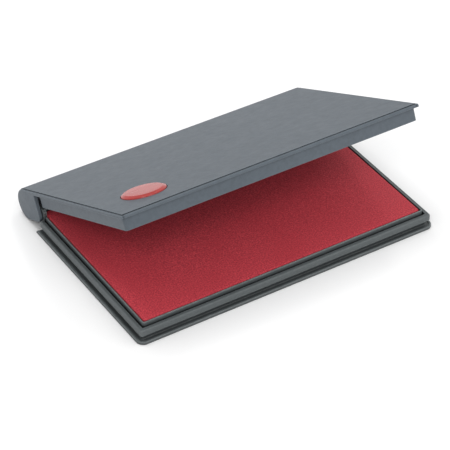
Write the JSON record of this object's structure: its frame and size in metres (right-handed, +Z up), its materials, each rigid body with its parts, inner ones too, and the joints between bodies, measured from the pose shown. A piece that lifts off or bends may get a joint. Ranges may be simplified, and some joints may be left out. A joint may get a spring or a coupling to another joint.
{
  "type": "ink pad",
  "caption": "Rectangular ink pad in a shallow plastic case with a hinged lid and a round colour button near its front corner.",
  "frame": {"origin": "middle of the footprint, on the surface that the case stands on", "axes": "+X along the hinge, +Y from the open front edge towards the hinge, +Z up; the rest pose has the lid ajar"},
  "size_m": [0.1178, 0.0858, 0.0456],
  "materials": {
    "case_plastic": "fine matte texture, moulded",
    "pad_cloth": "fine woven cloth, inked",
    "ink_felt": "dense felt, inked",
    "backing_board": "plain",
    "button_plastic": "semi-gloss, moulded"
  },
  "bodies": {
    "base": {"base_tray": "case_plastic", "pad_tray": "case_plastic", "pad_backing": "backing_board", "ink_felt": "ink_felt", "pad_cover": "pad_cloth"},
    "lid": {"lid_shell": "case_plastic", "colour_button": "button_plastic"}
  },
  "joints": [
    {"name": "lid_hinge", "type": "hinge", "parent": "base", "child": "lid", "pos_m": [0, 0.03715, 0.00585], "axis": [-1, 0, 0], "range_deg": [-26.3, 73.7]}
  ]
}
